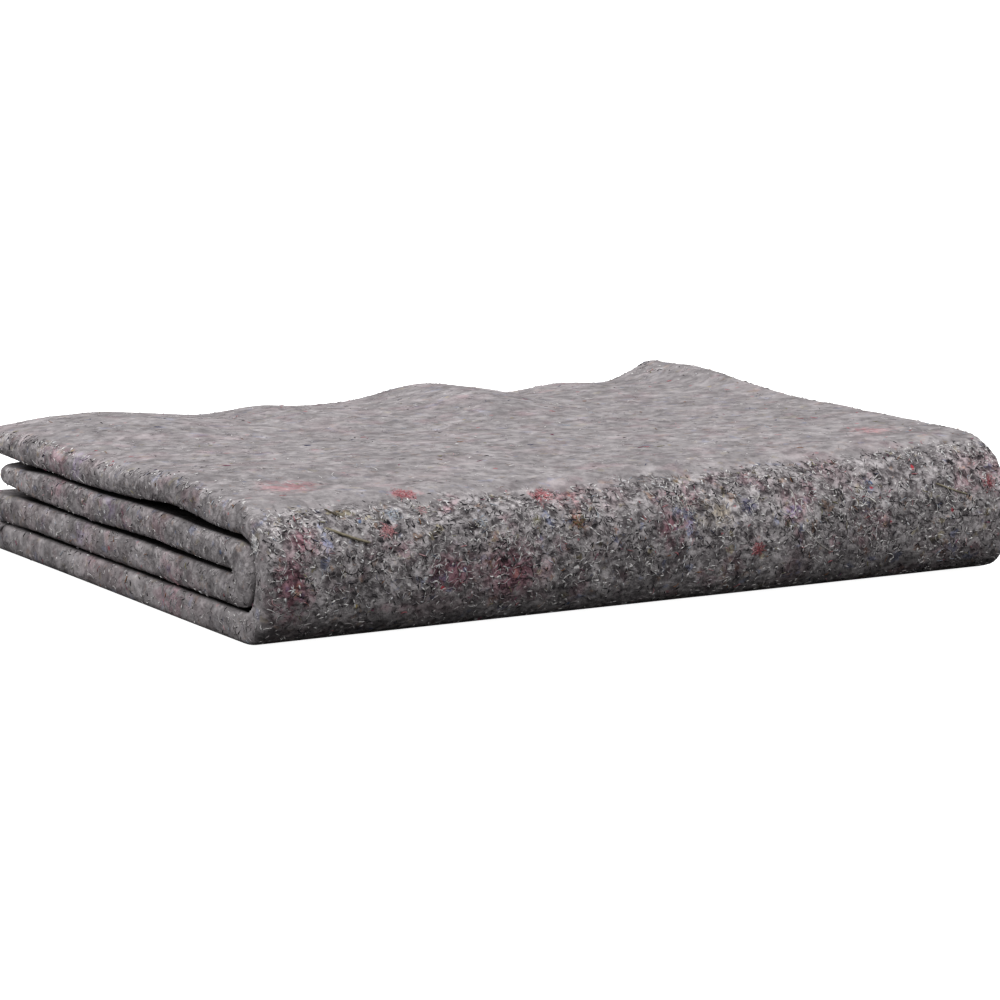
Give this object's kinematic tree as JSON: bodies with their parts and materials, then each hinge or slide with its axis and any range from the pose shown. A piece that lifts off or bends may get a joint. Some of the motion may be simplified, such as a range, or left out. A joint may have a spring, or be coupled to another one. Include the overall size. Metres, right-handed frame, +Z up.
{
  "type": "folded felt moving blanket",
  "caption": "Thick grey recycled-fibre felt moving blanket, folded on itself into a flat rectangular pad with a tall rounded front fold.",
  "frame": {"origin": "bottom centre of the bounding box, on the surface that the blanket lies on", "axes": "+X along the long folded edge, from the end that shows the layers to the other end; +Y from the tall outer fold to the free end; +Z up"},
  "size_m": [0.4626, 0.3762, 0.0801],
  "materials": {
    "grey_felt": "matt, fibrous"
  },
  "bodies": {
    "root": {"blanket": "grey_felt"}
  },
  "joints": []
}
